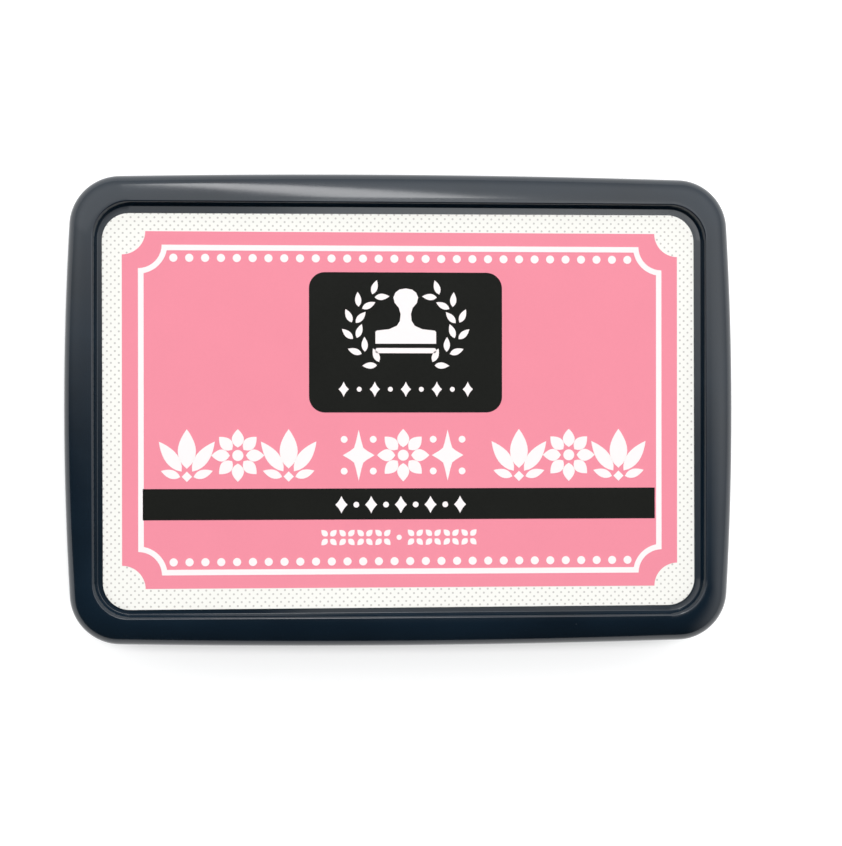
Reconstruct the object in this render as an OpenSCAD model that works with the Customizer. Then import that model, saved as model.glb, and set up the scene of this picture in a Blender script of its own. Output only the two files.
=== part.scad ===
// Full-size craft ink pad with a lift-off lid, closed.
// X runs along the length, Y across the depth (away from the user), Z up.
// The origin is the centre of the underside, on the surface the pad stands on.

/* [Case] */
// Length over the bowed ends
body_l = 98; // [90:0.5:104]
// Depth over the bowed long sides
body_d = 69.2; // [64:0.2:74]
// Height with the lid on
body_h = 19.5; // [19:0.1:22]
// Height of the base, up to the parting line
base_h = 8; // [7.5:0.1:8.5]
// Radius of the case's corners at its widest line
corner_r = 7.6; // [7:0.1:9]
// How far the long sides bow out at their middles
long_bow = 0.7; // [0.3:0.05:1]
// How far the short ends bow out at their middles
end_bow = 1.3; // [0.5:0.05:1.6]
// Thickness of the outer walls
wall = 1.7; // [1.5:0.05:1.8]
// How far each outer wall leans in, away from the parting line
draft = 0.25; // [0.1:0.05:0.4]

/* [Lid] */
// Width of the rolled rim at the middle of each side, to its sharp inner edge
rim_w = 4.7; // [4.5:0.1:4.8]
// Corner radius of the straight-sided recess inside the rim
recess_r = 5.2; // [4.6:0.1:6]
// How far the recess floor lies below the top of the rim
recess = 1.2; // [1:0.1:1.3]
// Width of the cove between the rim's inner edge and the recess floor
cove_w = 0.9; // [0.7:0.1:1.1]
// Thickness of the panel under the label
panel_t = 1.6; // [1.4:0.1:1.8]
// How far in the sealing rib stands, to its outer face
rib_inset = 6.6; // [6.4:0.1:6.8]
// Thickness of the sealing rib
rib_t = 1; // [0.8:0.1:1]
// Height above the rest plane of the sealing rib's edge
rib_z = 11.4; // [11.3:0.1:12]

/* [Labels] */
// Gap between the lid label and the rim's inner edge
label_gap = 1.4; // [1.2:0.05:3]
// Corner radius of both labels
label_r = 3.9; // [3:0.1:5]
// Thickness of both labels
label_t = 0.15; // [0.1:0.01:0.3]
// How far in the label on the underside lies from the case's sides
base_label_inset = 13; // [10:0.5:20]

/* [Base] */
// How far the underside is recessed inside its foot ring
foot_recess = 0.6; // [0.4:0.1:0.8]
// Width of the foot ring, measured from the widest line
foot_w = 6.7; // [5:0.1:8]
// Thickness of the tray's floor
floor_t = 1.6; // [1.4:0.1:1.8]
// Height of the collar that the lid slides over
collar_h = 2.8; // [2:0.1:3]
// Thickness of the collar
collar_t = 1.3; // [1.1:0.1:1.5]
// Clearance between the lid's skirt and the collar
lid_gap = 0.25; // [0.2:0.05:0.35]
// Height of the snap bead that stands out from the collar
snap_bead = 0.12; // [0.05:0.01:0.14]

/* [Pad] */
// How far in the felt block lies from the case's sides
felt_inset = 11.2; // [11.2:0.1:14]
// Corner radius of the felt block
felt_r = 3.6; // [3:0.1:4]
// Thickness of the felt at its edge
felt_t = 2.4; // [2:0.1:2.5]
// Extra thickness of the felt at its middle
felt_crown = 0.3; // [0.1:0.05:0.35]
// Thickness of the woven cover
cloth_t = 0.35; // [0.2:0.05:0.35]
// Height above the rest plane of the carrier's top
carrier_z = 12.4; // [12:0.1:12.5]
// How far the carrier stands out all round the felt
carrier_margin = 1.9; // [1.8:0.1:2]
// Thickness of the adhesive sheet under the felt
adhesive_t = 0.2; // [0.1:0.05:0.2]

/* [Hidden] */
$fn = 48;

// Sizes that follow the case's
recess_l = body_l - 2 * rim_w;
recess_d = body_d - 2 * rim_w;
label_l = recess_l - 2 * label_gap;
label_d = recess_d - 2 * label_gap;
base_label_l = body_l - 2 * base_label_inset;
base_label_d = body_d - 2 * base_label_inset;
felt_l = body_l - 2 * felt_inset;
felt_d = body_d - 2 * felt_inset;

// Outlines: [[length, depth], corner radius, [bow of the ends, bow of the long sides]]
case_outline = [[body_l, body_d], corner_r, [end_bow, long_bow]];
recess_outline = [[recess_l, recess_d], recess_r, [0.05, 0.05]];
felt_outline = [[felt_l, felt_d], felt_r, [0.3, 0.3]];

// Points along a quarter of a ring: end arc, corner arc and long-side arc
end_steps = 3;
corner_steps = 8;
long_steps = 4;
quarter = end_steps + corner_steps + long_steps;
ring_points = 4 * quarter;
// Smallest corner radius of a ring that lies deep inside the case
least_r = 1.2;

// Levels above the rest plane
floor_z = foot_recess + floor_t;
collar_z = base_h + collar_h;
recess_z = body_h - recess;
ceiling_z = recess_z - panel_t;
felt_z = carrier_z + adhesive_t;

// The collar and the parting line's small chamfers
collar_in = wall + lid_gap;
chamfer = 0.3;

// The rim: its sharp inner edge, the rounded shoulder that rises all the way
// to that edge, and the hollow that keeps the moulding even
edge_w = 0.25;
edge_h = 0.12;
shoulder_w = rim_w - draft - edge_w;
shoulder_h = 2.9;
hollow_h = 1;

// The felt's rounded top edge
edge_r = 1.1;

// The carrier under the felt, and the frame that clips round its top
carrier_l = felt_l + 2 * carrier_margin;
carrier_d = felt_d + 2 * carrier_margin;
carrier_r = felt_r + carrier_margin;
carrier_wall = 1.2;
carrier_top_t = 1.4;
flange_w = 2;
flange_t = 1.2;
hem_w = 1.5;
frame_gap = 0.1;
frame_t = 0.8;
frame_lip = 1.3;
frame_lip_t = 0.8;
frame_skirt_h = 2;
frame_r = carrier_r + frame_gap + frame_t;

// The locating posts in the tray and the bosses that fit over them
post_x = 30;
post_y = 16;
post_r = 1.1;
post_h = 5.5;
boss_bore_r = 1.2;
boss_r = 2.3;

// Radius of the arc that bows out by a given amount over twice half
function arc_radius(half, bow) = (half * half + bow * bow) / (2 * bow);

// Where the corner arc of radius r lies, tangent inside both side arcs
function corner_centre(hx, hy, r, end_r, long_r) =
    let (
        across = [hx - end_r, long_r - hy],
        span = norm(across),
        to_long = long_r - r,
        to_end = end_r - r,
        ahead = (to_long * to_long - to_end * to_end + span * span) / (2 * span),
        aside = sqrt(to_long * to_long - ahead * ahead)
    )
    [0, hy - long_r] + (ahead * across + aside * [across.y, -across.x]) / span;

// Points on an arc, leaving out the last
function arc(centre, r, from, to, steps) =
    [for (i = [0 : steps - 1])
        let (a = from + (to - from) * i / steps)
        centre + r * [cos(a), sin(a)]];

// A quarter of a bowed, round-cornered outline, from +X to +Y
function quarter_ring(hx, hy, r, end_r, long_r) =
    let (
        c = corner_centre(hx, hy, r, end_r, long_r),
        end_c = [hx - end_r, 0],
        long_c = [0, hy - long_r],
        end_a = atan2(c.y - end_c.y, c.x - end_c.x),
        long_a = atan2(c.y - long_c.y, c.x - long_c.x)
    )
    concat(
        arc(end_c, end_r, 0, end_a, end_steps),
        arc(c, r, end_a, long_a, corner_steps),
        arc(long_c, long_r, long_a, 90, long_steps),
        [[0, hy]]
    );

// A whole outline, moved in by inset and raised to z
function ring(outline, inset, z) =
    let (
        hx = outline[0].x / 2,
        hy = outline[0].y / 2,
        bows = outline[2],
        q = quarter_ring(
            hx - inset, hy - inset, max(outline[1] - inset, least_r),
            arc_radius(hy, bows.x) - inset, arc_radius(hx, bows.y) - inset
        )
    )
    concat(
        [for (i = [0 : quarter - 1]) [q[i].x, q[i].y, z]],
        [for (i = [quarter : -1 : 1]) [-q[i].x, q[i].y, z]],
        [for (i = [0 : quarter - 1]) [-q[i].x, -q[i].y, z]],
        [for (i = [quarter : -1 : 1]) [q[i].x, -q[i].y, z]]
    );

// Gives each [inset, z] of a profile the outline that it follows
function along(outline, pairs) = [for (p = pairs) [outline, p[0], p[1]]];

// A solid lofted through rings, one for each [outline, inset, z] of the profile
module loft(profile) {
    last = len(profile) - 1;
    points = [for (p = profile) each ring(p[0], p[1], p[2])];
    sides = [for (k = [0 : last - 1], i = [0 : ring_points - 1])
        let (
            a = k * ring_points + i,
            b = k * ring_points + (i + 1) % ring_points
        )
        each [[a, a + ring_points, b + ring_points], [a, b + ring_points, b]]];
    bottom = [for (i = [0 : ring_points - 1]) i];
    top = [for (i = [ring_points - 1 : -1 : 0]) last * ring_points + i];
    polyhedron(points, concat([bottom], sides, [top]));
}

// A rectangle with exact round corners
module rounded(l, d, r) {
    square([l - 2 * r, d], center = true);
    square([l, d - 2 * r], center = true);
    for (x = [-1, 1], y = [-1, 1]) {
        translate([x * (l / 2 - r), y * (d / 2 - r)]) circle(r);
    }
}

// A rounded plate, from z upwards
module plate(l, d, r, z, t) {
    translate([0, 0, z]) linear_extrude(t) rounded(l, d, r);
}

// A rounded wall round an opening, from z upwards
module rounded_ring(l, d, r, thick, z, h) {
    translate([0, 0, z]) linear_extrude(h) difference() {
        rounded(l, d, r);
        rounded(l - 2 * thick, d - 2 * thick, max(r - thick, least_r));
    }
}

// Places its children at the four locating posts
module at_posts(z) {
    for (x = [-1, 1], y = [-1, 1]) {
        translate([x * post_x, y * post_y, z]) children();
    }
}

// From the middle of the underside, out round the foot, up the outside,
// over the parting ledge and the collar, and down to the floor
base_profile = along(case_outline, [
    [foot_w + 0.3, foot_recess],
    [foot_w + 0.1, 0.1],
    [foot_w - 0.1, 0],
    [draft + 1.3, 0],
    [draft + 0.6, 0.2],
    [draft + 0.2, 0.65],
    [draft, 1.4],
    [draft / 3, base_h / 2],
    [0, base_h - chamfer],
    [chamfer, base_h],
    [collar_in, base_h],
    [collar_in, base_h + 0.25 * collar_h],
    [collar_in - snap_bead, base_h + 0.45 * collar_h],
    [collar_in, base_h + 0.65 * collar_h],
    [collar_in + 0.3, collar_z],
    [collar_in + collar_t - 0.3, collar_z],
    [collar_in + collar_t, collar_z - 0.3],
    [collar_in + collar_t + 0.15, floor_z + 1.4],
    [collar_in + collar_t + 0.6, floor_z + 0.4],
    [collar_in + collar_t + 1.5, floor_z]
]);

// A point on the rim's rounded shoulder, from the outer wall at 0 to its top at 90
function shoulder(a) =
    [draft + shoulder_w * (1 - cos(a)), body_h - shoulder_h * (1 - sin(a))];

// From the ceiling, round the sealing rib, up into the hollow rim, down the
// skirt, up the outside, over the rolled rim and down the cove to the floor
lid_profile = concat(
    along(case_outline, [
        [rib_inset + rib_t + 0.5, ceiling_z],
        [rib_inset + rib_t, ceiling_z - 0.5],
        [rib_inset + rib_t, rib_z + 0.2],
        [rib_inset + rib_t - 0.2, rib_z],
        [rib_inset + 0.2, rib_z],
        [rib_inset, rib_z + 0.2],
        [rib_inset, ceiling_z - 0.3],
        [rib_inset - 0.3, ceiling_z],
        [rib_inset - 0.8, ceiling_z],
        [rib_inset - 2, ceiling_z + hollow_h],
        [wall + 0.9, ceiling_z + hollow_h],
        [wall + 0.15, ceiling_z + 0.4],
        [wall, ceiling_z - 0.4],
        [wall, base_h + 0.2],
        [wall + 0.1, base_h],
        [chamfer, base_h],
        [0, base_h + chamfer],
        [0.4 * draft, base_h + 4.5]
    ]),
    along(case_outline, [for (a = [0 : 12 : 60]) shoulder(a)]),
    along(recess_outline, [for (a = [70, 80, 90]) shoulder(a) - [rim_w, 0]]),
    along(recess_outline, [[0, body_h - edge_h]]),
    along(recess_outline, [for (a = [0 : 30 : 90])
        let (rise = recess - 2 * edge_h)
        [cove_w - (cove_w - 0.05) * cos(a), recess_z + rise * (1 - sin(a))]])
);

// The felt's outside, grown by t all over, from z to the middle of its top
function felt_dome(t, z) = concat(
    [[-t, z]],
    [for (a = [0 : 22.5 : 90])
        [edge_r - (edge_r + t) * cos(a), felt_z + felt_t - edge_r + (edge_r + t) * sin(a)]],
    [
        [edge_r + 4, felt_z + felt_t + t + 0.6 * felt_crown],
        [edge_r + 12, felt_z + felt_t + t + felt_crown]
    ]
);

function reversed(list) = [for (i = [len(list) - 1 : -1 : 0]) list[i]];

// The cover's inside, its hem on the carrier, and its outside
cloth_profile = along(felt_outline, concat(
    reversed(felt_dome(0, carrier_z)),
    [[-hem_w, carrier_z], [-hem_w, carrier_z + cloth_t]],
    felt_dome(cloth_t, carrier_z + cloth_t)
));

// Base moulding: foot ring, outer wall, parting ledge, collar and posts
module base_tray() {
    color([0.1, 0.13, 0.19]) {
        loft(base_profile);
        at_posts(floor_z) cylinder(r = post_r, h = post_h);
    }
}

// Paper label in the recess of the underside
module base_label() {
    color([0.9, 0.9, 0.88])
    plate(base_label_l, base_label_d, label_r, foot_recess - label_t, label_t);
}

// Raised inner tray that carries the felt, with bosses over the posts
module pad_carrier() {
    rib_h = carrier_z - carrier_top_t - floor_z;
    color([0.86, 0.86, 0.84])
    difference() {
        union() {
            plate(carrier_l, carrier_d, carrier_r, carrier_z - carrier_top_t, carrier_top_t);
            rounded_ring(carrier_l, carrier_d, carrier_r, carrier_wall, floor_z, rib_h);
            rounded_ring(
                carrier_l + 2 * flange_w, carrier_d + 2 * flange_w, carrier_r + flange_w,
                flange_w + carrier_wall / 2, floor_z, flange_t
            );
            for (x = [-0.5, 0.5]) {
                translate([x * post_x, 0, floor_z + rib_h / 2])
                cube([1, carrier_d - carrier_wall, rib_h], center = true);
            }
            translate([0, 0, floor_z + rib_h / 2])
            cube([carrier_l - carrier_wall, 1, rib_h], center = true);
            at_posts(floor_z) cylinder(r = boss_r, h = rib_h);
        }
        at_posts(floor_z - 1) cylinder(r = boss_bore_r, h = post_h + 2);
    }
}

// Double-sided adhesive sheet between the carrier and the felt
module pad_adhesive() {
    color([0.8, 0.76, 0.62])
    plate(felt_l - 1, felt_d - 1, felt_r - 0.5, carrier_z, adhesive_t);
}

// Dense felt that holds the ink
module felt_block() {
    color([0.93, 0.42, 0.55]) loft(along(felt_outline, felt_dome(0, felt_z)));
}

// Woven cover, drawn over the felt, with its hem clamped by the frame
module pad_cloth() {
    color([0.95, 0.33, 0.5]) loft(cloth_profile);
}

// Frame that clips over the carrier's edge and clamps the cover's hem
module pad_frame() {
    grow = 2 * (frame_gap + frame_t);
    lip_z = carrier_z + cloth_t;
    color([0.1, 0.13, 0.19]) {
        rounded_ring(
            carrier_l + grow, carrier_d + grow, frame_r,
            frame_gap + frame_t + frame_lip, lip_z, frame_lip_t
        );
        rounded_ring(
            carrier_l + grow, carrier_d + grow, frame_r,
            frame_t, lip_z - frame_skirt_h, frame_skirt_h
        );
    }
}

// Lid moulding: skirt, rolled rim, label recess and sealing rib
module lid_shell() {
    color([0.1, 0.13, 0.19]) loft(lid_profile);
}

// Printed label in the lid's recess
module lid_label() {
    color([0.98, 0.58, 0.66]) plate(label_l, label_d, label_r, recess_z, label_t);
}

base_tray();
base_label();
pad_carrier();
pad_adhesive();
felt_block();
pad_cloth();
pad_frame();
lid_shell();
lid_label();
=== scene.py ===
"""The looks of a covered ink pad: a dark moulded case with a printed label in its lid, and a soft inked pad.

Lengths are millimetres, in the frame of the CAD part, until a mesh is made. Only the lamps and the floor are
placed in metres.
"""

import math

import bpy
import numpy as np
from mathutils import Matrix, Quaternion, Vector
from mathutils.geometry import delaunay_2d_cdt


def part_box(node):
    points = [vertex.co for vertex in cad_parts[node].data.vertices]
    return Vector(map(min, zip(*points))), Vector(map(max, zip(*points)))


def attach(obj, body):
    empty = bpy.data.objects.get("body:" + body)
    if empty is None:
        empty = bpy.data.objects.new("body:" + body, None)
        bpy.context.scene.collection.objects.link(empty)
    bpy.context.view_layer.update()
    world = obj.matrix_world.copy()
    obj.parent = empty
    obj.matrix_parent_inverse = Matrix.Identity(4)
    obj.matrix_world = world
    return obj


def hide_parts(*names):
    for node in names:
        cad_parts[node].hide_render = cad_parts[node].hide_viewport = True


MM = 0.001
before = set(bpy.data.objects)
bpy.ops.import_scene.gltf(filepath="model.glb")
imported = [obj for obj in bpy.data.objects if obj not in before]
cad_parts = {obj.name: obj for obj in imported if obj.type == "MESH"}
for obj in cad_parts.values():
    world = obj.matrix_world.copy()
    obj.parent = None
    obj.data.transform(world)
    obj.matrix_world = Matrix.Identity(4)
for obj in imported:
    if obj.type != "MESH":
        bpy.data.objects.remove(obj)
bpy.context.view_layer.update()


# ---------------------------------------------------------------- camera

# Millimetres, and degrees about X, Y and Z
CAMERA_AT = (-10.01, -1.56, 247.64)
CAMERA_TURN = (-0.08, -3.183, -0.049)
CAMERA_LENS = 67.36
SENSOR_WIDTH = 36


def make_camera():
    """Almost straight above the lid, a little to its left, as the object was pictured."""
    data = bpy.data.cameras.new("camera")
    data.lens = CAMERA_LENS
    data.sensor_width = SENSOR_WIDTH
    data.sensor_fit = "AUTO"
    data.clip_start = 0.01
    data.clip_end = 20
    camera = bpy.data.objects.new("camera", data)
    camera.location = [v * MM for v in CAMERA_AT]
    camera.rotation_euler = [math.radians(a) for a in CAMERA_TURN]
    bpy.context.scene.collection.objects.link(camera)
    bpy.context.scene.camera = camera


# ---------------------------------------------------------------- sizes from the CAD part

def size_mm(node):
    """A CAD node's lowest corner and highest corner, in millimetres."""
    low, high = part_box(node)
    return np.array(low) / MM, np.array(high) / MM


LID_LOW, LID_HIGH = size_mm("lid_shell")
LABEL_LOW, LABEL_HIGH = size_mm("lid_label")
UNDER_LOW, UNDER_HIGH = size_mm("base_label")
CLOTH_LOW, CLOTH_HIGH = size_mm("pad_cloth")
FELT_LOW, FELT_HIGH = size_mm("felt_block")
RING_LOW, RING_HIGH = size_mm("pad_frame")

# A shape is (length, depth, corner radius, bow of the ends, bow of the long sides).
# PLAIN is the two bows of a shape with straight sides.
PLAIN = (0.002, 0.002)
CASE = (*(LID_HIGH - LID_LOW)[:2], 7.6, 1.3, 0.7)
RIM_W = 4.7
RECESS = (CASE[0] - 2 * RIM_W, CASE[1] - 2 * RIM_W, 5.2, 0.05, 0.05)
# Thickness of the lid's panel under its label
PANEL_T = 1.6
TOP_Z = LID_HIGH[2]
PARTING_Z = LID_LOW[2]
RECESS_Z = LABEL_LOW[2]
CEILING_Z = RECESS_Z - PANEL_T
COLLAR_Z = size_mm("base_tray")[1][2]
FLOOR_Z = 2.2
FOOT_RECESS = UNDER_HIGH[2]
# How far the lid's side leans in below its rounded shoulder, and the shoulder's height
DRAFT = 0.25
SHOULDER_H = 2.9


# ---------------------------------------------------------------- outlines and lofts

# Points on half an end, on a corner, and on half a long side
OUTLINE_STEPS = (8, 26, 18)
# The least radius that drawing in leaves at a corner
LEAST_R = 1.2
# Points round a post or a boss
ROUND_STEPS = 24


def arc(centre, radius, start, stop, steps):
    """Points on an arc, without its last one. Angles are radians."""
    turn = np.linspace(start, stop, steps, endpoint=False)
    return np.column_stack([centre[0] + radius * np.cos(turn), centre[1] + radius * np.sin(turn)])


def bow_radius(half, bow):
    """Radius of the arc that bows out by bow over twice half."""
    return (half * half + bow * bow) / (2 * bow)


def outline(shape, inset=0.0, steps=OUTLINE_STEPS):
    """One ring of points round a rectangle with bowed sides and tangent corner arcs, drawn in by inset."""
    hx, hy, corner = shape[0] / 2, shape[1] / 2, shape[2]
    end_r, long_r = bow_radius(hy, shape[3]), bow_radius(hx, shape[4])
    end_at, long_at = (hx - end_r, 0.0), (0.0, hy - long_r)
    end_in, long_in = end_r - inset, long_r - inset
    corner_in = max(corner - inset, min(corner, LEAST_R))
    ax, ay = end_at[0] - long_at[0], end_at[1] - long_at[1]
    span = math.hypot(ax, ay)
    to_long, to_end = long_in - corner_in, end_in - corner_in
    ahead = (to_long**2 - to_end**2 + span**2) / (2 * span)
    aside = math.sqrt(max(to_long**2 - ahead**2, 0.0))
    cx = long_at[0] + (ahead * ax + aside * ay) / span
    cy = long_at[1] + (ahead * ay - aside * ax) / span
    first = math.atan2(cy - end_at[1], cx - end_at[0])
    second = math.atan2(cy - long_at[1], cx - long_at[0])
    quarter = np.vstack([
        arc(end_at, end_in, 0.0, first, steps[0]),
        arc((cx, cy), corner_in, first, second, steps[1]),
        arc(long_at, long_in, second, math.pi / 2, steps[2]),
        [[0.0, long_at[1] + long_in]],
    ])
    back = quarter[::-1]
    quarters = [quarter, back * [-1, 1], quarter * [-1, -1], back * [1, -1]]
    return np.vstack([part[:-1] for part in quarters])


def fillet(points, steps=6):
    """A profile of (inset, z) with its corners rounded. Each point is (inset, z, radius)."""
    made = []
    for k, (s, z, radius) in enumerate(points):
        here = np.array([s, z])
        if radius == 0 or k in (0, len(points) - 1):
            made.append(here)
            continue
        before = np.array(points[k - 1][:2]) - here
        after = np.array(points[k + 1][:2]) - here
        la, lb = np.linalg.norm(before), np.linalg.norm(after)
        u, v = before / la, after / lb
        half = math.acos(np.clip(u @ v, -1, 1)) / 2
        reach = min(radius / math.tan(half), 0.49 * la, 0.49 * lb)
        true_r = reach * math.tan(half)
        centre = here + (u + v) / np.linalg.norm(u + v) * true_r / math.sin(half)
        start, stop = here + u * reach - centre, here + v * reach - centre
        turn = math.atan2(start[0] * stop[1] - start[1] * stop[0], start @ stop)
        for t in np.linspace(0, turn, steps + 1):
            cosine, sine = math.cos(t), math.sin(t)
            made.append(centre + [start[0] * cosine - start[1] * sine, start[0] * sine + start[1] * cosine])
    return made


def build(name, points, faces, body, smooth=True):
    """A mesh object from points in millimetres, riding on a CAD body."""
    mesh = bpy.data.meshes.new(name)
    mesh.from_pydata((np.asarray(points, float) * MM).tolist(), [], faces)
    mesh.validate()
    piece = bpy.data.objects.new(name, mesh)
    bpy.context.scene.collection.objects.link(piece)
    if smooth:
        mesh.shade_smooth()
    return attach(piece, body)


def soften(piece, angle=38):
    """Smooth shading with crisp creases, weighted to the large faces."""
    piece.data.set_sharp_from_angle(angle=math.radians(angle))
    weighted = piece.modifiers.new("weighted_normals", "WEIGHTED_NORMAL")
    weighted.keep_sharp = True
    weighted.weight = 80
    return piece


def loft_mesh(rings, closed=False, capped=True):
    """Points and faces of a skin over rings, each (points in the plane, z).

    Closed joins the last ring to the first. If not, both are capped unless capped is False.
    """
    n = len(rings[0][0])
    points = np.vstack([np.column_stack([ring, np.full(n, z)]) for ring, z in rings])
    faces = []
    pairs = list(zip(range(len(rings)), range(1, len(rings))))
    if closed:
        pairs.append((len(rings) - 1, 0))
    for low, high in pairs:
        for k in range(n):
            j = (k + 1) % n
            faces.append((low * n + k, low * n + j, high * n + j, high * n + k))
    if capped and not closed:
        last = (len(rings) - 1) * n
        faces.append(tuple(range(n - 1, -1, -1)))
        faces.append(tuple(range(last, last + n)))
    return points, faces


def rings_on(shape, profile):
    """Rings for a profile of (inset, z) on one outline."""
    return [(outline(shape, s), z) for s, z in profile]


def turned(x, y, profile):
    """A round moulded feature at (x, y), from a profile of (radius, z)."""
    return loft_mesh([(disc(x, y, radius, ROUND_STEPS), z) for radius, z in profile])


def joined(parts):
    """One (points, faces) from several."""
    points, faces = [], []
    for some_points, some_faces in parts:
        start = sum(len(p) for p in points)
        points.append(some_points)
        faces += [tuple(start + k for k in face) for face in some_faces]
    return np.vstack(points), faces


def ease(t):
    """From 0 to 1 with level ends, for t from 0 to 1."""
    t = min(max(t, 0.0), 1.0)
    return t * t * (3 - 2 * t)


# ---------------------------------------------------------------- materials

def linear(r, g, b):
    """Linear colour of an 8-bit display colour."""
    shares = [c / 255 for c in (r, g, b)]
    return tuple(((c + 0.055) / 1.055) ** 2.4 if c > 0.04045 else c / 12.92 for c in shares) + (1.0,)


def shaded(colour, factor):
    """A colour made darker or paler."""
    return tuple(min(1, c * factor) for c in colour[:3]) + (1.0,)


# How a shift moves the noise's place along X, Y and Z
NOISE_SHIFT = (1.0, 0.7, 1.3)


class Nodes:
    """Short helpers for one material's node tree. Object coordinates are scaled to millimetres."""

    def __init__(self, name):
        self.material = bpy.data.materials.new(name)
        self.material.use_nodes = True
        self.tree = self.material.node_tree
        self.shader = self.tree.nodes["Principled BSDF"]
        self.mm = self.vector("MULTIPLY", self.add("ShaderNodeTexCoord").outputs["Object"], (1 / MM,) * 3)

    def add(self, kind, **settings):
        node = self.tree.nodes.new(kind)
        for key, value in settings.items():
            setattr(node, key, value)
        return node

    def put(self, socket, value):
        if isinstance(value, bpy.types.NodeSocket):
            self.tree.links.new(value, socket)
        else:
            socket.default_value = value

    def maths(self, operation, a, b=0.0):
        node = self.add("ShaderNodeMath", operation=operation)
        for socket, value in zip(node.inputs, (a, b)):
            self.put(socket, value)
        return node.outputs[0]

    def vector(self, operation, a, b=(0.0, 0.0, 0.0)):
        node = self.add("ShaderNodeVectorMath", operation=operation)
        self.put(node.inputs[0], a)
        self.put(node.inputs[1], b)
        return node.outputs["Value" if operation == "LENGTH" else "Vector"]

    def noise(self, size, detail=3.0, rough=0.5, stretch=(1.0, 1.0, 1.0), shift=0.0):
        """Noise from 0 to 1 whose features are about size millimetres across."""
        place = self.vector("MULTIPLY", self.mm, tuple(k / size for k in stretch))
        place = self.vector("ADD", place, tuple(shift * k for k in NOISE_SHIFT))
        node = self.add("ShaderNodeTexNoise")
        self.put(node.inputs["Vector"], place)
        self.put(node.inputs["Scale"], 1.0)
        self.put(node.inputs["Detail"], detail)
        self.put(node.inputs["Roughness"], rough)
        return node.outputs["Fac"]

    def span(self, value, low, high, to_low=0.0, to_high=1.0, smooth=False):
        """The value from low to high, spread over to_low to to_high and held there beyond them."""
        node = self.add("ShaderNodeMapRange", interpolation_type="SMOOTHSTEP" if smooth else "LINEAR")
        for socket, v in zip(node.inputs, (value, low, high, to_low, to_high)):
            self.put(socket, v)
        return node.outputs["Result"]

    def mix(self, factor, a, b):
        node = self.add("ShaderNodeMix", data_type="RGBA")
        self.put(node.inputs["Factor"], factor)
        colours = [s for s in node.inputs if s.type == "RGBA"]
        self.put(colours[0], a)
        self.put(colours[1], b)
        return [s for s in node.outputs if s.type == "RGBA"][0]

    def bump(self, height, distance):
        """Surface relief; distance is the relief's height in millimetres."""
        node = self.add("ShaderNodeBump")
        self.put(node.inputs["Strength"], 1.0)
        self.put(node.inputs["Distance"], distance * MM)
        self.put(node.inputs["Height"], height)
        self.put(self.shader.inputs["Normal"], node.outputs["Normal"])

    def set(self, **values):
        for key, value in values.items():
            self.put(self.shader.inputs[key.replace("_", " ")], value)


PLASTIC_IOR = 1.5
PLASTIC_RELIEF = 0.0022
DUST = (0.30, 0.29, 0.28, 1.0)
DUST_COVER = 0.25


def plastic(name, colour, roughness, spread):
    """Moulded plastic: slight flow marks, fine orange peel, faint rubbing and a few specks of dust."""
    m = Nodes(name)
    flow = m.noise(14, 4, 0.55, (0.6, 1.0, 1.0))
    fine = m.noise(0.35, 3, 0.6, shift=5)
    rub = m.noise(1.1, 4, 0.7, (0.12, 1.0, 1.0), shift=11)
    speck = m.noise(0.23, 1, 0.5, shift=17)
    base = m.mix(m.span(flow, 0.35, 0.65), shaded(colour, 0.82), shaded(colour, 1.22))
    dusty = m.maths("MULTIPLY", m.span(speck, 0.80, 0.86, smooth=True), DUST_COVER)
    base = m.mix(dusty, base, DUST)
    rough = m.maths("ADD", m.span(flow, 0.3, 0.7, -spread, spread), roughness)
    rough = m.maths("ADD", rough, m.span(rub, 0.55, 0.75, 0.0, spread * 1.2))
    rough = m.maths("ADD", rough, m.span(fine, 0.3, 0.7, -spread * 0.3, spread * 0.3))
    m.set(Base_Color=base, Roughness=rough, IOR=PLASTIC_IOR)
    m.bump(m.maths("ADD", m.maths("MULTIPLY", fine, 0.4), m.noise(2.2, 2, 0.5, shift=3)), PLASTIC_RELIEF)
    return m.material


DOT_PITCH = 1.13
# The dots' edge, from its inside to its outside, as shares of the pitch
DOT_EDGE = (0.10, 0.155)
# Whole cells added to every place, so that none lies below zero
DOT_CELLS = 100.0


def paper(name, dots=True):
    """White label stock with a very fine printed ground of pale grey dots."""
    m = Nodes(name)
    ground = m.mix(m.noise(26, 3, 0.5), linear(237, 236, 230), linear(232, 230, 224))
    if dots:
        flat = m.vector("MULTIPLY", m.mm, (1 / DOT_PITCH, 1 / DOT_PITCH, 0.0))
        away = []
        for shift in (DOT_CELLS, DOT_CELLS + 0.5):
            cell = m.vector("FRACTION", m.vector("ADD", flat, (shift, shift, 0.0)))
            away.append(m.vector("LENGTH", m.vector("SUBTRACT", cell, (0.5, 0.5, 0.0))))
        ink = m.span(m.maths("MINIMUM", *away), *DOT_EDGE, 1.0, 0.0, smooth=True)
        ground = m.mix(m.maths("MULTIPLY", ink, 0.85), ground, linear(182, 177, 173))
    m.set(Base_Color=ground, Roughness=m.span(m.noise(0.5, 3), 0.3, 0.7, 0.46, 0.60), Specular_IOR_Level=0.18)
    m.bump(m.noise(0.25, 3, 0.6), 0.004)
    return m.material


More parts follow.
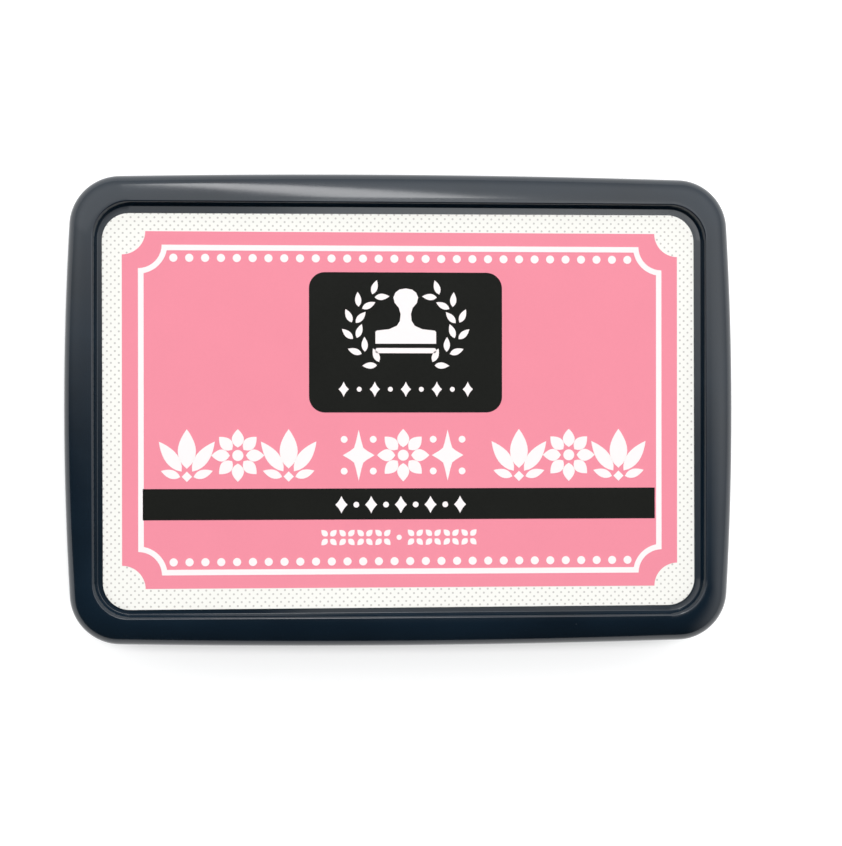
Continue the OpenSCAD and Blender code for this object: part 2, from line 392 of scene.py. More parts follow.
def ink_print(name, colour, variation):
    """Printed ink on the label: even, with a slight mottle from the press."""
    m = Nodes(name)
    coarse, fine = m.noise(9, 3, 0.6), m.noise(0.3, 2)
    mottle = m.maths("ADD", m.maths("MULTIPLY", coarse, 0.6), m.maths("MULTIPLY", fine, 0.4))
    base = m.mix(m.span(mottle, 0.35, 0.65), shaded(colour, 1 - variation), shaded(colour, 1 + variation))
    m.set(Base_Color=base, Specular_IOR_Level=0.08)
    m.set(Roughness=m.span(m.noise(0.6, 3, shift=4), 0.3, 0.7, 0.44, 0.56))
    m.bump(m.noise(0.25, 3, 0.6), 0.003)
    return m.material


# Ink on the crests of the threads, and the same ink darker in the hollows as painted shade, each from where
# it is wettest to where it is driest
CREST_INK = ((0.70, 0.070, 0.195, 1.0), (0.82, 0.115, 0.265, 1.0))
HOLLOW_INK_PAINTED_SHADE = ((0.38, 0.020, 0.085, 1.0), (0.48, 0.034, 0.115, 1.0))
THREAD_PITCH = 0.42
# Millimetres added to every place along the threads, so that none lies below zero
THREAD_START = 500.0
# Where the threads turn down over the pad's edge, from its inside to its outside, measured in from its side
THREAD_BEND = (2.4, 1.4)


def inked_cloth(name):
    """Plain-woven cover cloth, soaked with pink ink: threads over and under, with painted shade in the
    hollows between them.
    """
    m = Nodes(name)
    drift = m.span(m.noise(5, 2, shift=2), 0.0, 1.0, -0.12, 0.12)
    parts = m.add("ShaderNodeSeparateXYZ")
    m.put(parts.inputs[0], m.mm)
    drop = m.maths("SUBTRACT", float(CLOTH_HIGH[2]), parts.outputs["Z"])
    threads = []
    for axis, half in (("X", COVER[0] / 2), ("Y", COVER[1] / 2)):
        place = parts.outputs[axis]
        near_side = m.span(m.maths("ABSOLUTE", place), *(half - inset for inset in THREAD_BEND))
        down = m.maths("MULTIPLY", m.maths("MULTIPLY", drop, near_side), m.maths("SIGN", place))
        along = m.maths("ADD", m.maths("ADD", place, down), THREAD_START)
        threads.append(m.maths("ADD", m.maths("DIVIDE", along, THREAD_PITCH), drift))
    across = [m.maths("SINE", m.maths("MULTIPLY", m.maths("FRACT", t), math.pi)) for t in threads]
    over = m.maths("MODULO", m.maths("ADD", *(m.maths("FLOOR", t) for t in threads)), 2.0)
    over = m.maths("GREATER_THAN", over, 0.5)
    raised = []
    for crest, run in (across, across[::-1]):
        rise = m.maths("ADD", m.maths("MULTIPLY", run, 0.45), 0.55)
        raised.append(m.maths("MULTIPLY", m.maths("POWER", crest, 0.6), rise))
    warp = m.maths("MULTIPLY", raised[0], over)
    weft = m.maths("MULTIPLY", raised[1], m.maths("SUBTRACT", 1.0, over))
    height = m.maths("ADD", warp, weft)
    fuzz = m.noise(0.12, 3, 0.7, shift=8)
    dryness = m.noise(13, 4, 0.6, shift=21)
    light = m.mix(m.span(dryness, 0.3, 0.7), *CREST_INK)
    deep = m.mix(m.span(dryness, 0.3, 0.7), *HOLLOW_INK_PAINTED_SHADE)
    # Painted shade: the colour darkens where the weave's relief is low, in the hollows between the threads
    shade = m.span(m.maths("ADD", height, m.maths("MULTIPLY", fuzz, 0.25)), 0.25, 1.05)
    m.set(Base_Color=m.mix(shade, deep, light), IOR=1.4, Sheen_Weight=0.08)
    dullness = m.maths("ADD", m.maths("MULTIPLY", height, 0.3), dryness)
    m.set(Roughness=m.span(dullness, 0.4, 1.0, 0.38, 0.62))
    m.bump(m.maths("ADD", height, m.maths("MULTIPLY", fuzz, 0.35)), 0.10)
    return m.material


def felt_pad(name):
    """Pressed felt, full of ink."""
    m = Nodes(name)
    length_ways = m.noise(0.5, 5, 0.75, (0.2, 1.0, 1.0), shift=9)
    fibre = m.maths("ADD", m.noise(0.5, 5, 0.75, (1.0, 0.2, 1.0)), length_ways)
    m.set(Base_Color=m.mix(m.span(fibre, 0.8, 1.2), (0.33, 0.02, 0.07, 1.0), (0.66, 0.08, 0.19, 1.0)))
    m.set(Roughness=m.span(m.noise(3, 3), 0.3, 0.7, 0.62, 0.85), Sheen_Weight=0.2)
    m.bump(fibre, 0.12)
    return m.material


def film(name):
    """Pale double-sided adhesive film."""
    m = Nodes(name)
    m.set(Base_Color=m.mix(m.noise(4, 3), (0.62, 0.58, 0.48, 1.0), (0.75, 0.72, 0.63, 1.0)))
    m.set(Roughness=m.span(m.noise(0.8, 3), 0.3, 0.7, 0.22, 0.4), IOR=1.47)
    m.bump(m.noise(1.2, 3), 0.01)
    return m.material


# How far from an object the floor's glow starts to fade into a painted contact shadow, and the glow away from
# it
CONTACT_SHADOW = 4
FLOOR_GLOW = 0.74


def floor_material():
    """White paper lit evenly from all sides and glowing, with a painted contact shadow: its glow fades close
    beside whatever stands on it.
    """
    m = Nodes("floor")
    painted_shadow_ao = m.add("ShaderNodeAmbientOcclusion", samples=12)
    painted_shadow_ao.inputs["Distance"].default_value = CONTACT_SHADOW * MM
    m.set(Base_Color=m.mix(m.noise(60, 2), (0.46, 0.46, 0.46, 1.0), (0.47, 0.47, 0.47, 1.0)))
    m.set(Roughness=0.9, Specular_IOR_Level=0.2, Emission_Color=(1.0, 1.0, 1.0, 1.0))
    # Ambient occlusion dims the glow beside the object, which paints a contact shadow on the floor
    m.set(Emission_Strength=m.span(m.maths("POWER", painted_shadow_ao.outputs["AO"], 2.4), 0.0, 1.0, 0.0, FLOOR_GLOW))
    return m.material


def finish_with(piece, material):
    """Give a piece its material."""
    piece.data.materials.clear()
    piece.data.materials.append(material)
    return piece


# ---------------------------------------------------------------- the case

RIB_IN, RIB_Z = 6.6, 11.4
SKIRT_T = 1.7
# What the rounded shoulder leaves of the rim's width
TOP_FLAT = 0.25
# The corners of the lip and of the recess's wall, as insets beyond the rim's width
LIP_TOP, LIP_FOOT, WALL_FOOT = -0.04, 0.1, 0.5
LIP_DROP = 0.24
SHOULDER_ROWS = 26
SHOULDER_END = 84


def lid_profile():
    """(inset, z, share of the recess's outline) for the lid's section.

    It runs from the ceiling, round the sealing rib and the skirt, over the rim and into the recess.
    """
    inner = fillet([
        (RIB_IN + 2, CEILING_Z, 0), (RIB_IN + 1, CEILING_Z, 0.5), (RIB_IN + 1, RIB_Z, 0.22),
        (RIB_IN, RIB_Z, 0.22), (RIB_IN, CEILING_Z, 0.35), (5.7, CEILING_Z, 0.35), (4.7, CEILING_Z + 1, 0.4),
        (SKIRT_T, CEILING_Z + 1, 1.2), (SKIRT_T, PARTING_Z, 0.15), (0, PARTING_Z, 0.3),
        (0.1, PARTING_Z + 4.5, 2), (DRAFT, TOP_Z - SHOULDER_H, 0),
    ])
    rows = [(s, z, 0.0) for s, z in inner]
    width = RIM_W - DRAFT - TOP_FLAT
    for turn in np.radians(np.linspace(0, SHOULDER_END, SHOULDER_ROWS + 1)[1:]):
        s = DRAFT + width * (1 - math.cos(turn))
        rows.append((s, TOP_Z - SHOULDER_H * (1 - math.sin(turn)), ease(s / RIM_W)))
    foot = (RIM_W + LIP_FOOT, TOP_Z - LIP_DROP, 0)
    lip = fillet([(RIM_W - 0.66, TOP_Z - 0.004, 0), (RIM_W + LIP_TOP, TOP_Z, 0.2), foot])
    wall = fillet([foot, (RIM_W + WALL_FOOT, RECESS_Z, 0.12), (RIM_W + 1.25, RECESS_Z, 0)])
    return rows + [(s, z, 1.0) for s, z in lip[1:] + wall[1:]]


def lid_shell(material):
    """The lid, whose section moves over from the case's outline to the recess's across the rim."""
    rings = []
    for s, z, share in lid_profile():
        ring = outline(CASE, s)
        if share > 0:
            ring = ring * (1 - share) + outline(RECESS, s - RIM_W) * share
        rings.append((ring, z))
    points, faces = loft_mesh(rings)
    piece = soften(build("lid_shell_skin", points, faces, "lid"))
    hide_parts("lid_shell")
    return finish_with(piece, material)


POSTS = [(x, y) for x in (-30, 30) for y in (-16, 16)]
POST_R, POST_H = 1.1, 5.5
# How far in the collar stands, and how far out and how high its bead is
COLLAR_IN, BEAD_OUT, BEAD_Z = 1.95, 0.12, 9.26


def base_tray(material):
    """The tray: its section runs from the underside up the wall, over the collar and down to the floor."""
    profile = fillet([
        (8.2, FOOT_RECESS, 0), (6.75, FOOT_RECESS, 0.15), (6.6, 0, 0.18), (1.2, 0, 0.9), (0.32, 0.5, 1.0),
        (0.12, 4, 4), (0, PARTING_Z, 0.3), (COLLAR_IN, PARTING_Z, 0.1), (COLLAR_IN, 8.9, 0.4),
        (COLLAR_IN - BEAD_OUT, BEAD_Z, 0.3), (COLLAR_IN, 9.6, 0.4), (2.15, COLLAR_Z, 0.3),
        (3.3, COLLAR_Z, 0.28), (3.42, 3.6, 2), (3.6, FLOOR_Z, 1.1), (6.2, FLOOR_Z, 0),
    ])
    end = FLOOR_Z + POST_H
    post = [(POST_R, FLOOR_Z - 0.4), (POST_R, end - 0.3), (POST_R - 0.3, end)]
    posts = [turned(x, y, post) for x, y in POSTS]
    points, faces = joined([loft_mesh(rings_on(CASE, profile)), *posts])
    piece = soften(build("base_tray_skin", points, faces, "base"))
    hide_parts("base_tray")
    return finish_with(piece, material)


# ---------------------------------------------------------------- the pad

# Thickness of the cover in the CAD part, and of the sheet that stands for it
CLOTH_T = 0.35
CLOTH_SHOWN_T = 0.28
# The felt's corner radius, the bow of its sides, and how far its crown stands over its edge
FELT_R, FELT_BOW, FELT_CROWN = 3.6, 0.3, 0.3
FELT_SHAPE = (*(FELT_HIGH - FELT_LOW)[:2], FELT_R, FELT_BOW, FELT_BOW)
COVER = (FELT_SHAPE[0] + 2 * CLOTH_T, FELT_SHAPE[1] + 2 * CLOTH_T, FELT_R + CLOTH_T, FELT_BOW, FELT_BOW)
# How the top rises inside its rounded edge: by how much, over what run, and how softly it starts
CROWN_RISE, CROWN_RUN, CROWN_POWER = 0.28, 11.0, 1.3
# Height of an even triangle with sides of 1
TRIANGLE_H = 0.866
FRAME_WALL, FRAME_LIP_W, FRAME_LIP_T = 0.8, 2.1, 0.8


def pad_frame(material):
    """The frame that holds the cover's hem: a wall outside the carrier, and a lip over the hem."""
    size = RING_HIGH - RING_LOW
    shape = (size[0], size[1], 6.4, *PLAIN)
    low, high = RING_LOW[2], RING_HIGH[2]
    under = high - FRAME_LIP_T
    profile = fillet([
        (0.4, low, 0), (0, low, 0.15), (0, high, 0.45), (FRAME_LIP_W, high, 0.35), (FRAME_LIP_W, under, 0.12),
        (FRAME_WALL, under, 0.12), (FRAME_WALL, low, 0.15), (0.4, low, 0),
    ])
    points, faces = loft_mesh(rings_on(shape, profile[:-1]), closed=True)
    piece = soften(build("pad_frame_skin", points, faces, "base"))
    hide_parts("pad_frame")
    return finish_with(piece, material)


def crown(inset, low, edge):
    """Height of a soft pad's top at an inset: a rounded edge, then a gentle crown."""
    if inset < edge:
        return low - edge + math.sqrt(max(edge**2 - (edge - inset) ** 2, 0.0))
    share = min((inset - edge) / CROWN_RUN, 1.0)
    return low + CROWN_RISE * math.sin(share * math.pi / 2) ** CROWN_POWER


def depth_inside(loop, places):
    """How far each place lies inside a loop that bows outwards all round."""
    run = np.roll(loop, -1, axis=0) - loop
    length = np.linalg.norm(run, axis=1)
    made = []
    for x, y in places:
        side = (run[:, 0] * (y - loop[:, 1]) - run[:, 1] * (x - loop[:, 0])) / length
        made.append(side.min())
    return np.array(made)


def even_points(shape, inset, pitch):
    """Points on a net of even triangles, well inside an outline."""
    columns = int(shape[0] / 2 / pitch) + 1
    rows = int(shape[1] / (pitch * TRIANGLE_H)) + 2
    places = np.array([((c + 0.5 * (r % 2)) * pitch, r * pitch * TRIANGLE_H)
                       for r in range(-rows // 2, rows // 2 + 1) for c in range(-columns, columns + 1)])
    return places[depth_inside(outline(shape, inset), places) > pitch * 0.6]


def pad_top(shape, profile, low, edge, flat_from, pitch):
    """A soft pad's skin: rings down its side and round its edge, and an even net of triangles over its top.

    low is the top's height where the rounded edge ends, and the net starts flat_from inside the outline.
    """
    rings = rings_on(shape, profile)
    for s in np.linspace(0, flat_from, 9)[1:]:
        rings.append((outline(shape, s), crown(s, low, edge)))
    points, faces = loft_mesh(rings, capped=False)
    n = len(rings[0][0])
    last = (len(rings) - 1) * n
    flat = [Vector(p) for p in [*rings[-1][0], *even_points(shape, flat_from, pitch)]]
    loop = [(k, (k + 1) % n) for k in range(n)]
    net = delaunay_2d_cdt(flat, loop, [], 1, 1e-5)
    inner = np.array([tuple(v) for v in net[0][n:]])
    heights = [crown(d, low, edge) for d in depth_inside(outline(shape), inner)]
    faces += [tuple(last + k if k < n else len(points) + k - n for k in face) for face in net[2]]
    return np.vstack([points, np.column_stack([inner, heights])]), faces


# The cloth is solved at this many times its size, where the solver is steady
SIM_SCALE = 20
SIM_FRAMES = 24
# The share of a downward move that is kept, because the filling is under the cloth
SINK_SHARE = 0.1


def settled(points, faces, held, cap, slack):
    """Cloth points after the sheet swells over its filling, with some points held.

    The sheet is cut too large by the share slack. No point moves further than cap.
    """
    mesh = bpy.data.meshes.new("cloth_work")
    mesh.from_pydata((points * MM * SIM_SCALE).tolist(), [], faces)
    work = bpy.data.objects.new("cloth_work", mesh)
    scene = bpy.context.scene
    scene.collection.objects.link(work)
    work.vertex_groups.new(name="held").add(held, 1.0, "REPLACE")
    cloth = work.modifiers.new("Cloth", "CLOTH")
    rule = cloth.settings
    rule.vertex_group_mass = "held"
    rule.effector_weights.gravity = 0
    rule.quality = 6
    rule.mass = 0.3
    rule.tension_stiffness = rule.compression_stiffness = 30
    rule.shear_stiffness = 12
    rule.bending_stiffness = 0.6
    rule.shrink_min = -slack
    rule.use_pressure = True
    rule.uniform_pressure_force = 0.02
    cloth.point_cache.frame_end = SIM_FRAMES
    for step in range(1, SIM_FRAMES + 1):
        scene.frame_set(step)
    result = work.evaluated_get(bpy.context.evaluated_depsgraph_get()).data
    moved = np.empty(3 * len(points))
    result.vertices.foreach_get("co", moved)
    move = moved.reshape(-1, 3) / (MM * SIM_SCALE) - points
    bpy.data.objects.remove(work)
    scene.frame_set(1)
    reach = np.linalg.norm(move, axis=1, keepdims=True)
    move *= cap * np.tanh(reach / cap) / np.maximum(reach, 1e-9)
    sunk = move[:, 2] < 0
    move[sunk, 2] *= SINK_SHARE
    return points + move


def felt_block(material):
    """The dense felt: a closed pad with a rounded upper edge and a slight crown."""
    foot = FELT_LOW[2]
    profile = [(0.05, foot + 0.02), (0.05, foot + 0.6)]
    low = FELT_HIGH[2] - FELT_CROWN - 0.02
    points, faces = pad_top(FELT_SHAPE, profile, low, edge=1.1, flat_from=2.4, pitch=1.1)
    faces.append(tuple(range(len(outline(FELT_SHAPE)) - 1, -1, -1)))
    piece = build("felt_block_soft", points, faces, "base")
    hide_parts("felt_block")
    finish_with(piece, material)
    return piece


def pad_cloth(material):
    """The cover: a sheet from its hem under the frame, up the felt's side and over its top."""
    foot = CLOTH_LOW[2]
    hem = fillet([(-1.1, foot + 0.33, 0), (0, foot + 0.33, 0.3), (0, foot + 1.3, 0)], 4)
    low = CLOTH_HIGH[2] - FELT_CROWN
    points, faces = pad_top(COVER, hem, low, edge=1.45, flat_from=3.2, pitch=0.9)
    held = [int(k) for k in np.flatnonzero(points[:, 2] < foot + 1.35)]
    points = settled(points, faces, held, cap=0.3, slack=0.004)
    piece = build("pad_cloth_cover", points, faces, "base")
    shell = piece.modifiers.new("thickness", "SOLIDIFY")
    shell.thickness = CLOTH_SHOWN_T * MM
    shell.offset = -1
    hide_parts("pad_cloth")
    finish_with(piece, material)
    return piece


CARRIER_WALL, CARRIER_TOP_T = 1.2, 1.4
FLANGE_W, FLANGE_T = 2, 1.2
BORE_R, BOSS_R = 1.2, 2.3
RIB_T = 1
RIB_STEPS = (1, 3, 1)
CROSS_RIBS_X = (-15, 15)


def pad_carrier(material):
    """The open-bottomed box under the felt: its flange on the tray's floor, its ribs, and its bosses."""
    low, high = size_mm("pad_carrier")
    size = high - low
    shape = (size[0] - 2 * FLANGE_W, size[1] - 2 * FLANGE_W, 5.5, *PLAIN)
    foot, top = low[2], high[2]
    ceiling, flange_z = top - CARRIER_TOP_T, foot + FLANGE_T
    profile = fillet([
        (2.6, ceiling, 0), (CARRIER_WALL, ceiling, 0.4), (CARRIER_WALL, foot, 0.12), (-FLANGE_W, foot, 0.15),
        (-FLANGE_W, flange_z, 0.4), (0, flange_z, 0.35), (0, top, 0.25), (1.5, top, 0),
    ])
    under = ceiling + 0.1
    boss = [(BORE_R, foot + POST_H + 1), (BORE_R, foot + 0.2), (BORE_R + 0.2, foot), (BOSS_R - 0.1, foot),
            (BOSS_R, foot + 0.1), (BOSS_R, under)]
    parts = [loft_mesh(rings_on(shape, profile))] + [turned(x, y, boss) for x, y in POSTS]
    across = [(x, RIB_T, shape[1] - CARRIER_WALL) for x in CROSS_RIBS_X]
    for x, length, depth in [*across, (0, shape[0] - CARRIER_WALL, RIB_T)]:
        rib = (length, depth, 0.2, *PLAIN)
        rows = ((0.12, foot), (0.08, foot + 0.1), (0.0, under))
        parts.append(loft_mesh([(outline(rib, s, RIB_STEPS) + [x, 0], z) for s, z in rows]))
    points, faces = joined(parts)
    piece = soften(build("pad_carrier_skin", points, faces, "base"))
    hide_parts("pad_carrier")
    return finish_with(piece, material)


# ---------------------------------------------------------------- labels and their print

# Steps for the outlines of large and of tiny printed shapes
FEW = (2, 9, 2)
LEAST = (1, 4, 1)
LOZENGE_STEPS = 4
CUT_EDGE = 0.04


def slab(name, shape, low, high, body, material, turn=0.0, shift=(0.0, 0.0)):
    """A thin label with a slightly rounded cut edge, turned by some degrees and shifted off centre."""
    profile = fillet([(1, low, 0), (0, low, CUT_EDGE / 2), (0, high, CUT_EDGE), (1, high, 0)], 3)
    rings = [(placed(outline(shape, s), *shift, math.radians(turn)), z) for s, z in profile]
    points, faces = loft_mesh(rings)
    return finish_with(soften(build(name, points, faces, body), 60), material)


def notched(hx, hy, corner, radius, steps=10):
    """A rectangle whose corners are cut by quarter rounds centred on corner."""
    start = math.atan2(-math.sqrt(radius**2 - (corner[0] - hx) ** 2), hx - corner[0]) % (2 * math.pi)
    stop = math.atan2(hy - corner[1], -math.sqrt(radius**2 - (corner[1] - hy) ** 2)) % (2 * math.pi)
    turn = np.linspace(start, stop, steps + 1)
    bite = np.column_stack([corner[0] + radius * np.cos(turn), corner[1] + radius * np.sin(turn)])
    back = bite[::-1]
    return np.vstack([bite, back * [-1, 1], bite * [-1, -1], back * [1, -1]])


def disc(x, y, radius, steps=20):
    """A circle's points."""
    turn = np.linspace(0, 2 * math.pi, steps, endpoint=False)
    return np.column_stack([x + radius * np.cos(turn), y + radius * np.sin(turn)])


def placed(loop, x, y, turn):
    """A loop turned about its origin, in radians, and then moved to (x, y)."""
    c, s = math.cos(turn), math.sin(turn)
    return np.asarray(loop, float) @ np.array([[c, s], [-s, c]]) + [x, y]


def leaf(x, y, turn, length, width, steps=9):
    """A pointed leaf that starts at (x, y) and grows in the direction turn, in degrees."""
    t = np.linspace(0, 1, steps + 1)
    half = width / 2 * np.sin(np.pi * t**0.85) ** 0.9
    half[0] = half[-1] = 0
    right = np.column_stack([t * length, -half])
    left = np.column_stack([t * length, half])[::-1]
    return placed(np.vstack([right, left[1:-1]]), x, y, math.radians(turn))


def lozenge(x, y, wide, tall, pinch=0.0):
    """A diamond; pinch draws its sides in."""
    tips = np.array([(wide / 2, 0), (0, tall / 2), (-wide / 2, 0), (0, -tall / 2)])
    made = []
    for a, b in zip(tips, np.roll(tips, -1, axis=0)):
        for t in np.linspace(0, 1, LOZENGE_STEPS, endpoint=False):
            made.append((a * (1 - t) + b * t) * (1 - pinch * math.sin(math.pi * t)))
    return np.array(made) + [x, y]


def mirrored(half_shape, x):
    """A closed loop from one side's points, top to bottom, mirrored about x."""
    side = np.array(half_shape, float)
    return np.vstack([side[::-1], (side * [-1, 1])[1:]]) + [x, 0]


def print_layer(name, shapes, low, high, material, body="lid"):
    """Printed shapes as one thin piece. A shape is a loop, or a tuple of an outer and an inner loop.

    The two loops of a tuple have as many points each.
    """
    points, faces = [], []
    for shape in shapes:
        loops = shape if isinstance(shape, tuple) else (shape,)
        start, n = len(points), len(loops[0])
        for loop in loops:
            points += [(x, y, low) for x, y in loop] + [(x, y, high) for x, y in loop]
        ring = [(k, (k + 1) % n) for k in range(n)]
        for k, j in ring:
            faces.append((start + k, start + j, start + n + j, start + n + k))
        if len(loops) == 1:
            faces.append(tuple(range(start + n, start + 2 * n)))
            faces.append(tuple(range(start + n - 1, start - 1, -1)))
        else:
            inner = start + 2 * n
            for k, j in ring:
                faces.append((inner + n + k, inner + n + j, inner + j, inner + k))
                faces.append((start + n + k, start + n + j, inner + n + j, inner + n + k))
                faces.append((start + j, start + k, inner + k, inner + j))
    return finish_with(build(name, points, faces, body, smooth=False), material)


def tulip(x, y):
    """Five leaves that spread from a foot, and a small diamond under them."""
    made = [leaf(x, y - 1.9, 90, 5.7, 2.6)]
    for side in (-1, 1):
        made.append(leaf(x + side * 0.75, y - 2.3, 90 - side * 37, 5.4, 1.9))
        made.append(leaf(x + side * 0.95, y - 3.1, 90 - side * 72, 2.9, 1.25))
    return made + [lozenge(x, y - 3.05, 1.5, 1.5)]


def rosette(x, y):
    """Eight petals round a disc."""
    made = [leaf(x + 1.15 * math.cos(a), y + 1.15 * math.sin(a), math.degrees(a), 2.65, 1.75)
            for a in np.arange(8) * math.pi / 4]
    return made + [disc(x, y, 0.8)]


def star(x, y):
    """A four-pointed star with a dot between its points."""
    made = [lozenge(x, y, 4.6, 7.4, 0.42)]
    return made + [disc(x + 2.1 * i, y + 2.3 * j, 0.5) for i in (-1, 1) for j in (-1, 1)]


TITLE_Y = -6.55
TITLE_ROW = ((tulip, (-31.0, -16.4, 17.0, 31.6)), (rosette, (-23.7, 0.15, 24.3)), (star, (-6.3, 6.6)))


def title_shapes():
    """The row of flowers and stars that fills the title's place."""
    return [shape for flower, across in TITLE_ROW for x in across for shape in flower(x, TITLE_Y)]


FRAME_LINE = (37.95, 23.77)
FRAME_LINE_T = 0.8
DOT_ROW_X, DOT_ROW_Y, DOT_ROW_PITCH = -32.9, 21.9, 2.27


def frame_shapes():
    """The line round the panel, and a row of dots inside its upper and lower sides."""
    inner = [half - FRAME_LINE_T for half in FRAME_LINE]
    made = [(notched(*FRAME_LINE, FRAME_LINE, 3.39), notched(*inner, FRAME_LINE, 4.18))]
    for k in range(30):
        for y in (-DOT_ROW_Y, DOT_ROW_Y):
            made.append(disc(DOT_ROW_X + DOT_ROW_PITCH * k, y, 0.59))
    return made


def small_flower(x, y):
    """Four petals set crosswise."""
    made = []
    for a in (45, 135, 225, 315):
        way = math.radians(a)
        made.append(leaf(x + 0.3 * math.cos(way), y + 0.3 * math.sin(way), a, 1.25, 0.85, 6))
    return made


SMALL_LINE_Y = -18.45
SMALL_PITCH = 2.6


def small_line_shapes():
    """Two groups of four small flowers, with a dot between them."""
    made = []
    for k in range(4):
        for start in (-10.6, 1.9):
            made += small_flower(start + SMALL_PITCH * k, SMALL_LINE_Y)
    return made + [disc(-0.45, SMALL_LINE_Y, 0.38)]


def lozenge_row(x, y, pitch, wide, tall, pinch, dot):
    """Five diamonds with a dot between each two, centred on (x, y)."""
    made = []
    for k in range(-4, 5):
        at = x + pitch * k
        made.append(lozenge(at, y, wide, tall, pinch) if k % 2 == 0 else disc(at, y, dot, 16))
    return made


BADGE_AT = (0.54, 9.78)
# Half the width and height of the oval that the sprigs follow, and the height of its middle
SPRIG_W, SPRIG_H, SPRIG_Y = 7.6, 6.0, 11.8
# Half of the stamp's outline, from the top of its knob down to its foot
STAMP = [(0, 17.6), (0.9, 17.45), (1.5, 17.0), (1.8, 16.3), (1.6, 15.5), (1.0, 14.8), (0.75, 13.9),
         (0.85, 12.9), (1.3, 12.2), (2.4, 11.7), (4.2, 11.5), (4.4, 11.3), (4.4, 9.6)]


def badge_shapes():
    """A hand stamp between two leaf sprigs, over a row of lozenges."""
    x = BADGE_AT[0]
    made = [mirrored(STAMP, x), outline((8.8, 0.75, 0.3, *PLAIN), 0, LEAST) + [x, 8.6]]
    for side in (-1, 1):
        for k in range(6):
            along = -58 + 22 * k
            a = math.radians(along)
            px, py = x + side * SPRIG_W * math.cos(a), SPRIG_Y + SPRIG_H * math.sin(a)
            for lean, far in ((-34, 0.28), (34, -0.28)):
                turn = 90 + along + lean
                turn = turn if side > 0 else 180 - turn
                made.append(leaf(px + side * far * math.cos(a), py + far * math.sin(a), turn, 2.15, 0.92, 7))
    return made + lozenge_row(x, 3.0, 2.25, 1.5, 2.2, 0.15, 0.36)


# Half the panel's length and depth, and the corners of the dark band
PANEL = (40.25, 25.7)
BAND = [(36.95, -15.85), (36.95, -11.35), (-37.3, -11.35), (-37.3, -15.85)]
# Thickness of a layer of print
LAYER_T = 0.012
PINK = linear(230, 137, 153)
PRINT_BLACK = linear(20, 21, 18)
PRINT_WHITE = linear(240, 231, 230)


def lid_label():
    """The lid's paper label, laid a little askew, with three layers of print on it."""
    size = LABEL_HIGH - LABEL_LOW
    top = LABEL_HIGH[2]
    piece = slab("lid_label_sheet", (size[0], size[1], 3.9, *PLAIN), LABEL_LOW[2], top, "lid",
                 paper("label_paper"), turn=0.12, shift=(-0.14, -0.14))
    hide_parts("lid_label")
    white = ink_print("print_white", PRINT_WHITE, 0.008)
    black = ink_print("print_black", PRINT_BLACK, 0.12)
    pink = ink_print("print_pink", PINK, 0.012)
    first, second, third, last = [top + k * LAYER_T for k in range(4)]
    print_layer("label_panel", [notched(*PANEL, PANEL, 3.35, 14)], first, second, pink)
    print_layer("label_frame_line", frame_shapes(), second, third, white)
    print_layer("label_title_row", title_shapes() + small_line_shapes(), second, third, white)
    badge = outline((28.0, 20.3, 2.3, *PLAIN), 0, FEW) + BADGE_AT
    print_layer("label_dark_blocks", [badge, BAND], second, third, black)
    band_row = lozenge_row(-0.2, -13.7, 2.15, 1.75, 2.5, 0.12, 0.42)
    print_layer("label_badge_emblem", badge_shapes() + band_row, third, last, white)


# Rows of print on the underside's label: (length, y), all from one left side
UNDER_LEFT = -12.5
UNDER_ROWS = ((42, 12), (38, 8), (42, 4), (30, 0), (40, -4), (42, -8), (24, -12))


def base_label():
    """The underside's paper label, with plain bars for its small print, inside a ruled line."""
    size = UNDER_HIGH - UNDER_LOW
    low = UNDER_LOW[2]
    piece = slab("base_label_sheet", (size[0], size[1], 2.5, *PLAIN), low, UNDER_HIGH[2], "base",
                 paper("base_paper", dots=False))
    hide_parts("base_label")
    grey = ink_print("print_grey", linear(92, 92, 94), 0.06)
    pink = ink_print("print_pink_under", PINK, 0.02)
    rows = [outline((length, 1.5, 0.5, *PLAIN), 0, LEAST) + [UNDER_LEFT + length / 2, y]
            for length, y in UNDER_ROWS]
    rule = tuple(outline((size[0] - less, size[1] - less, corner, *PLAIN), 0, FEW)
                 for less, corner in ((4, 1.8), (4.8, 1.4)))
    patch = outline((14, 14, 1.2, *PLAIN), 0, FEW) + [-24, 6]
    for name, shapes, ink in (("base_label_lines", [rule, *rows], grey),
                              ("base_label_patch", [patch, disc(-24, -9.5, 3.2, 32)], pink)):
        print_layer(name, shapes, low - LAYER_T, low, ink, "base")


# ---------------------------------------------------------------- surroundings

# Brightness of the studio behind the object, to its right, and elsewhere, and of the two lamps
BACK_SKY = 2.0
RIGHT_SKY = 1.2
DIM_SKY = 0.05
TUBE = 8.0
OVERHEAD = 1.5
FLOOR_HALF = 3.0


def soft_box(name, place, size, radiance, turn=0.0):
    """A rectangular lamp that faces the floor. Lengths are metres, and turn is degrees about the vertical."""
    data = bpy.data.lights.new(name, "AREA")
    data.shape = "RECTANGLE"
    data.size, data.size_y = size
    data.energy = radiance * math.pi * size[0] * size[1]
    lamp = bpy.data.objects.new(name, data)
    lamp.location = place
    lamp.rotation_mode = "QUATERNION"
    facing = Vector((0, 0, -place[2])).to_track_quat("-Z", "Y")
    lamp.rotation_quaternion = Quaternion((0, 0, 1), math.radians(turn)) @ facing
    bpy.context.scene.collection.objects.link(lamp)


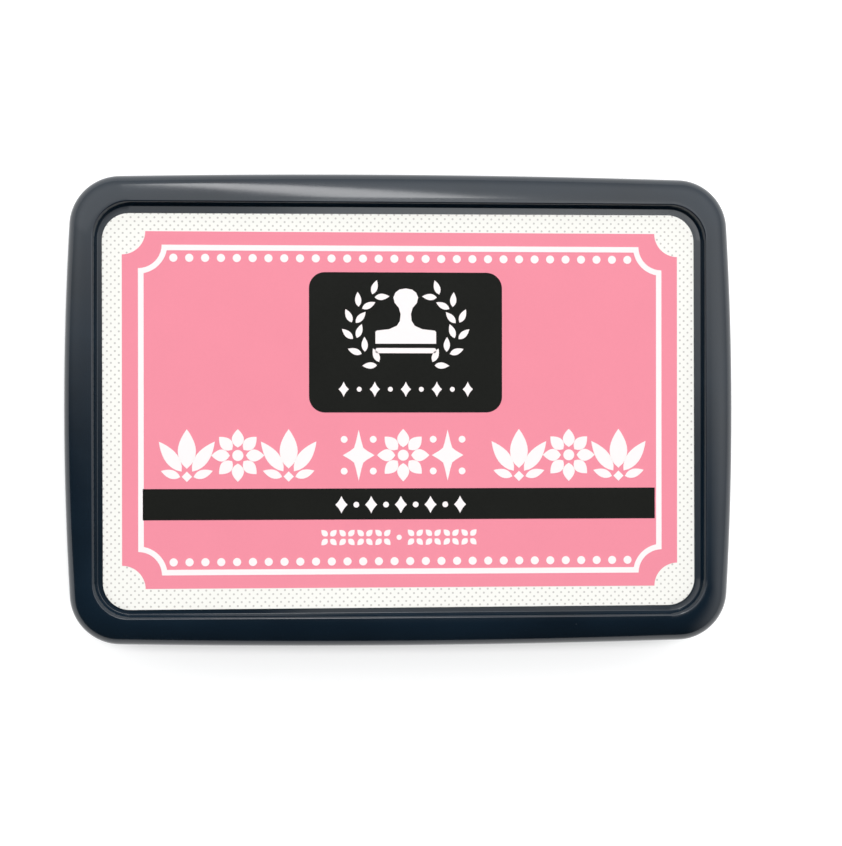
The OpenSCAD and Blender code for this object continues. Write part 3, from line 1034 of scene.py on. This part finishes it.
def make_world():
    """A studio that is bright behind the object and to its right, and plain white to the camera."""
    world = bpy.data.worlds.new("studio")
    bpy.context.scene.world = world
    world.use_nodes = True
    tree = world.node_tree
    tree.nodes.clear()
    add, link = tree.nodes.new, tree.links.new

    def maths(operation, a, b=0.0):
        node = add("ShaderNodeMath")
        node.operation = operation
        for socket, v in zip(node.inputs, (a, b)):
            if isinstance(v, bpy.types.NodeSocket):
                link(v, socket)
            else:
                socket.default_value = v
        return node.outputs[0]

    def span(value, low, high, to_low, to_high):
        node = add("ShaderNodeMapRange")
        node.interpolation_type = "SMOOTHSTEP"
        link(value, node.inputs[0])
        for socket, v in zip(node.inputs[1:5], (low, high, to_low, to_high)):
            socket.default_value = v
        return node.outputs["Result"]

    toward = add("ShaderNodeSeparateXYZ")
    link(add("ShaderNodeTexCoord").outputs["Generated"], toward.inputs[0])
    x, y, z = (toward.outputs[k] for k in range(3))
    # Each bright side comes in over a soft edge, and is dimmer near the horizon
    behind = maths("ADD", y, maths("MULTIPLY", maths("MAXIMUM", x, 0.0), 0.2))
    back = maths("MULTIPLY", span(behind, -0.06, 0.20, DIM_SKY, BACK_SKY), span(z, 0.0, 0.6, 0.5, 1.0))
    right = maths("MULTIPLY", span(x, 0.35, 0.95, DIM_SKY, RIGHT_SKY), span(z, 0.0, 0.45, 0.72, 1.0))
    sky = maths("MAXIMUM", back, right)
    light, seen, pick = add("ShaderNodeBackground"), add("ShaderNodeBackground"), add("ShaderNodeMixShader")
    light.inputs["Color"].default_value = (0.97, 0.985, 1.0, 1.0)
    link(sky, light.inputs["Strength"])
    seen.inputs["Color"].default_value = (1.0, 1.0, 1.0, 1.0)
    path, out = add("ShaderNodeLightPath"), add("ShaderNodeOutputWorld")
    link(path.outputs["Is Camera Ray"], pick.inputs["Fac"])
    link(light.outputs["Background"], pick.inputs[1])
    link(seen.outputs["Background"], pick.inputs[2])
    link(pick.outputs["Shader"], out.inputs["Surface"])


def make_floor():
    """A large white table, flush with the object's underside."""
    mesh = bpy.data.meshes.new("floor")
    corners = [(x * FLOOR_HALF, y * FLOOR_HALF, 0) for x, y in ((-1, -1), (1, -1), (1, 1), (-1, 1))]
    mesh.from_pydata(corners, [], [(0, 1, 2, 3)])
    floor = bpy.data.objects.new("floor", mesh)
    mesh.materials.append(floor_material())
    bpy.context.scene.collection.objects.link(floor)


# ---------------------------------------------------------------- the scene

CASE_COLOUR = (0.0036, 0.0098, 0.0175, 1.0)
CARRIER_COLOUR = (0.012, 0.013, 0.015, 1.0)
FRAME_COLOUR = (0.010, 0.011, 0.013, 1.0)

bpy.context.scene.view_settings.view_transform = "Standard"
make_camera()
make_world()
soft_box("tube", (-0.085, 0.84, 0.60), (0.085, 1.35), TUBE, turn=10)
soft_box("overhead", (0.07, 0.02, 0.62), (0.20, 0.26), OVERHEAD)
make_floor()
base_tray(plastic("case_plastic", CASE_COLOUR, 0.19, 0.03))
lid_shell(plastic("lid_plastic", CASE_COLOUR, 0.125, 0.02))
pad_carrier(plastic("carrier_plastic", CARRIER_COLOUR, 0.42, 0.05))
pad_frame(plastic("frame_plastic", FRAME_COLOUR, 0.34, 0.05))
finish_with(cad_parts["pad_adhesive"], film("adhesive_film"))
felt_block(felt_pad("felt"))
pad_cloth(inked_cloth("pad_fabric"))
lid_label()
base_label()
